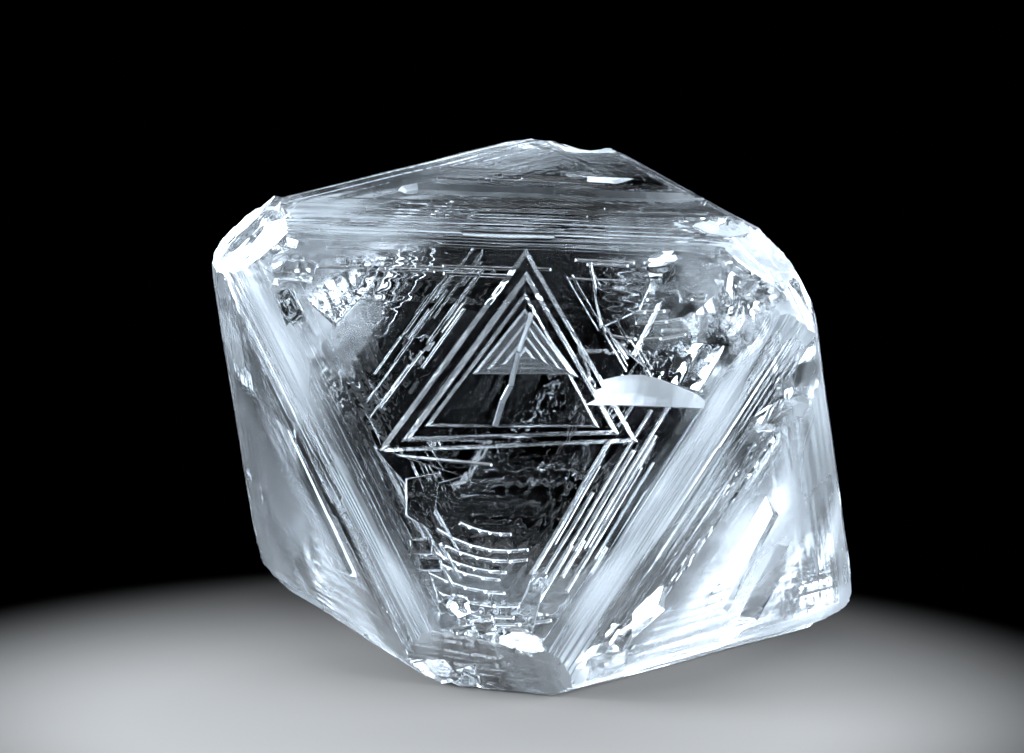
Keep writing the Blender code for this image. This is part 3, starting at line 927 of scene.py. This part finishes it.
def worn(bm):
    """Wears the surface, and gives back what the material needs at each point."""
    bm.verts.index_update()
    points = np.array([vert.co[:] for vert in bm.verts]) - np.array(CENTRE)
    ordered = closeness(points)
    corner = ramp(*CORNER_RANGE, ordered[3])
    values = {"roughness": roughness_of(points, ordered, corner)}
    for number, pair in enumerate(pair_closeness(points)):
        values[f"lines_{number}"] = from_least(LINES_LEAST, ramp(*LINES_RANGE, np.maximum(*pair)))
    places = worn_places(points, joined_pairs(bm), corner, ramp(*RIM_RANGE, ordered[1])) + np.array(CENTRE)
    places[:, 2] = np.maximum(places[:, 2], 0)
    for vert, place in zip(bm.verts, places):
        vert.co = place
    return values


def unite_and_cut():
    """The core with its growth sheets, less all cutters, as one mesh."""
    sheets = helper_collection("sheets")
    cutters = helper_collection("cutters")
    body = solid_between("core", [face_plane(face, CORE_DEPTH) for face in NORMALS], sheets)
    sheets.objects.unlink(body)
    bpy.context.scene.collection.objects.link(body)
    growth_sheets(sheets)
    for make in (wear, trigon, small_pits, slot, groove, chips, details):
        make(cutters)
    boolean(body, sheets, "UNION")
    boolean(body, cutters, "DIFFERENCE")
    evaluated = body.evaluated_get(bpy.context.evaluated_depsgraph_get())
    mesh = bpy.data.meshes.new_from_object(evaluated)
    for collection in (sheets, cutters):
        for helper in list(collection.objects):
            bpy.data.objects.remove(helper)
        bpy.data.collections.remove(collection)
    bpy.data.objects.remove(body)
    return mesh


def crystal_mesh():
    mesh = unite_and_cut()
    bm = bmesh.new()
    bm.from_mesh(mesh)
    cut_into_cells(bm)
    bmesh.ops.triangulate(bm, faces=bm.faces[:])
    close_slits(bm)
    values = worn(bm)
    bm.to_mesh(mesh)
    bm.free()
    for name, value in values.items():
        mesh.attributes.new(name, "FLOAT", "POINT").data.foreach_set("value", value.astype(np.float32))
    mesh.shade_smooth()
    mesh.set_sharp_from_angle(angle=SMOOTH_ANGLE)
    return mesh


class Nodes:
    """Short calls that add nodes to a material."""

    def __init__(self, material):
        self.tree = material.node_tree

    def add(self, kind, inputs=None, **settings):
        node = self.tree.nodes.new(kind)
        for key, value in settings.items():
            setattr(node, key, value)
        for key, value in (inputs or {}).items():
            if isinstance(value, bpy.types.NodeSocket):
                self.tree.links.new(value, node.inputs[key])
            else:
                node.inputs[key].default_value = value
        return node

    def math(self, operation, first, second=0.0, third=0.0):
        return self.add("ShaderNodeMath", {0: first, 1: second, 2: third}, operation=operation).outputs[0]

    def vector(self, operation, first, second):
        return self.add("ShaderNodeVectorMath", {0: first, 1: second}, operation=operation)

    def noise(self, vector, scale):
        inputs = {"Vector": vector, "Scale": scale, "Detail": 0.0}
        return self.add("ShaderNodeTexNoise", inputs).outputs["Fac"]

    def attribute(self, name):
        return self.add("ShaderNodeAttribute", attribute_name=name).outputs["Fac"]


def squeezed_along(nodes, place, normal):
    """The place, stretched along a face's normal, so that a noise at it runs in lines along the face."""
    along = nodes.vector("DOT_PRODUCT", place, normal).outputs["Value"]
    far = nodes.math("MULTIPLY", along, LINE_STRETCH)
    stretch = nodes.add("ShaderNodeVectorMath", {0: normal, "Scale": far}, operation="SCALE").outputs[0]
    return nodes.vector("ADD", place, stretch).outputs[0]


def diamond_material():
    """Clear crystal. The frost and the share of each set of fine lines are kept with the mesh."""
    material = bpy.data.materials.new("diamond")
    material.use_nodes = True
    nodes = Nodes(material)
    shader = material.node_tree.nodes["Principled BSDF"]
    place = nodes.add("ShaderNodeTexCoord").outputs["Object"]
    place = nodes.vector("MULTIPLY", place, (1 / MM, 1 / MM, 1 / MM)).outputs[0]
    height = nodes.math("MULTIPLY", nodes.noise(place, GRAIN_SCALE), GRAIN_HEIGHT)
    for number, (name, _) in enumerate(PAIRS):
        lines = nodes.noise(squeezed_along(nodes, place, tuple(NORMALS[name])), LINE_SCALE)
        height = nodes.math("MULTIPLY_ADD", lines, nodes.attribute(f"lines_{number}"), height)
    bump = nodes.add("ShaderNodeBump", {"Strength": 1.0, "Distance": BUMP_DEPTH, "Height": height})
    rough = nodes.math("ADD", nodes.attribute("roughness"), nodes.attribute("frost"))
    material.node_tree.links.new(rough, shader.inputs["Roughness"])
    material.node_tree.links.new(bump.outputs[0], shader.inputs["Normal"])
    shader.inputs["Base Color"].default_value = (1, 1, 1, 1)
    shader.inputs["IOR"].default_value = IOR
    shader.inputs["Transmission Weight"].default_value = 1.0
    return material


def view_axes():
    """Ways towards the camera, right and up in the picture."""
    level = math.cos(VIEW_ELEVATION)
    towards_x = math.sin(VIEW_AZIMUTH) * level
    towards_y = -math.cos(VIEW_AZIMUTH) * level
    back = Vector((towards_x, towards_y, math.sin(VIEW_ELEVATION)))
    right = Vector((math.cos(VIEW_AZIMUTH), math.sin(VIEW_AZIMUTH), 0))
    return back, right, back.cross(right)


def add_camera():
    back, right, up = view_axes()
    aside = (IMAGE_WIDTH / 2 - CENTRE_PIXEL[0]) / PIXELS_PER_METRE
    above = (CENTRE_PIXEL[1] - IMAGE_HEIGHT / 2) / PIXELS_PER_METRE
    target = CENTRE + right * aside + up * above
    data = bpy.data.cameras.new("camera")
    data.sensor_width = SENSOR
    data.lens = PIXELS_PER_METRE * VIEW_DISTANCE * SENSOR / IMAGE_WIDTH
    data.clip_start = 1 * MM
    data.clip_end = CLIP_END
    camera = bpy.data.objects.new("camera", data)
    turn = Matrix((right, up, back)).transposed().to_4x4()
    camera.matrix_world = Matrix.Translation(target + back * VIEW_DISTANCE) @ turn
    bpy.context.scene.collection.objects.link(camera)
    bpy.context.scene.camera = camera


def soft_light(name, azimuth_deg, elevation_deg, size, power):
    """A soft light that looks at the crystal."""
    azimuth = math.radians(azimuth_deg)
    elevation = math.radians(elevation_deg)
    level = math.cos(elevation)
    way = Vector((level * math.sin(azimuth), -level * math.cos(azimuth), math.sin(elevation)))
    data = bpy.data.lights.new(name, "AREA")
    data.shape = "RECTANGLE"
    data.size, data.size_y = size[0] * MM, size[1] * MM
    data.energy = power
    data.color = LIGHT_TINT
    light = bpy.data.objects.new(name, data)
    turn = way.to_track_quat("Z", "Y").to_matrix().to_4x4()
    light.matrix_world = Matrix.Translation(CENTRE + way * LIGHT_DISTANCE) @ turn
    light.visible_camera = False
    bpy.context.scene.collection.objects.link(light)


def add_lights():
    for name, values in LIGHTS.items():
        soft_light(name, *values)
    world = bpy.data.worlds.new("world")
    bpy.context.scene.world = world
    world.use_nodes = True
    world.node_tree.nodes["Background"].inputs["Color"].default_value = BLACK


def painted_light_pool_floor_material():
    """A painted pool of light: pale near the crystal, and black further away."""
    material = bpy.data.materials.new("floor")
    material.use_nodes = True
    nodes = Nodes(material)
    shader = material.node_tree.nodes["Principled BSDF"]
    place = nodes.add("ShaderNodeTexCoord").outputs["Object"]
    # Painted pool of light: full floor colour at the middle, fading to black with the distance from it.
    away = nodes.vector("DISTANCE", place, (0, 0, 0)).outputs["Value"]
    fade = {0: away, 1: PAINTED_LIGHT_POOL_FADE[0], 2: PAINTED_LIGHT_POOL_FADE[1], 3: 1.0, 4: 0.0}
    light = nodes.add("ShaderNodeMapRange", fade, interpolation_type="SMOOTHSTEP").outputs[0]
    mix = nodes.add("ShaderNodeMix", {0: light, 6: BLACK, 7: FLOOR_COLOUR}, data_type="RGBA")
    material.node_tree.links.new(mix.outputs[2], shader.inputs["Base Color"])
    shader.inputs["Roughness"].default_value = FLOOR_ROUGHNESS
    shader.inputs["Specular IOR Level"].default_value = 0.0
    return material


def add_floor():
    bpy.ops.mesh.primitive_circle_add(
        vertices=FLOOR_SIDES, radius=FLOOR_REACH, fill_type="NGON", location=FLOOR_MIDDLE
    )
    floor = bpy.context.object
    floor.name = "floor"
    floor.data.materials.append(painted_light_pool_floor_material())


add_camera()
add_floor()
add_lights()
settings = bpy.context.scene
settings.view_settings.view_transform = "Standard"
settings.cycles.max_bounces = BOUNCES
settings.cycles.transmission_bounces = BOUNCES
settings.cycles.glossy_bounces = BOUNCES
settings.cycles.caustics_refractive = False
settings.cycles.caustics_reflective = False
mesh = crystal_mesh()
crystal = bpy.data.objects.new("rough_diamond_crystal", mesh)
bpy.context.scene.collection.objects.link(crystal)
mesh.materials.clear()
mesh.materials.append(diamond_material())
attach(crystal, "root")
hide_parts("rough_diamond")
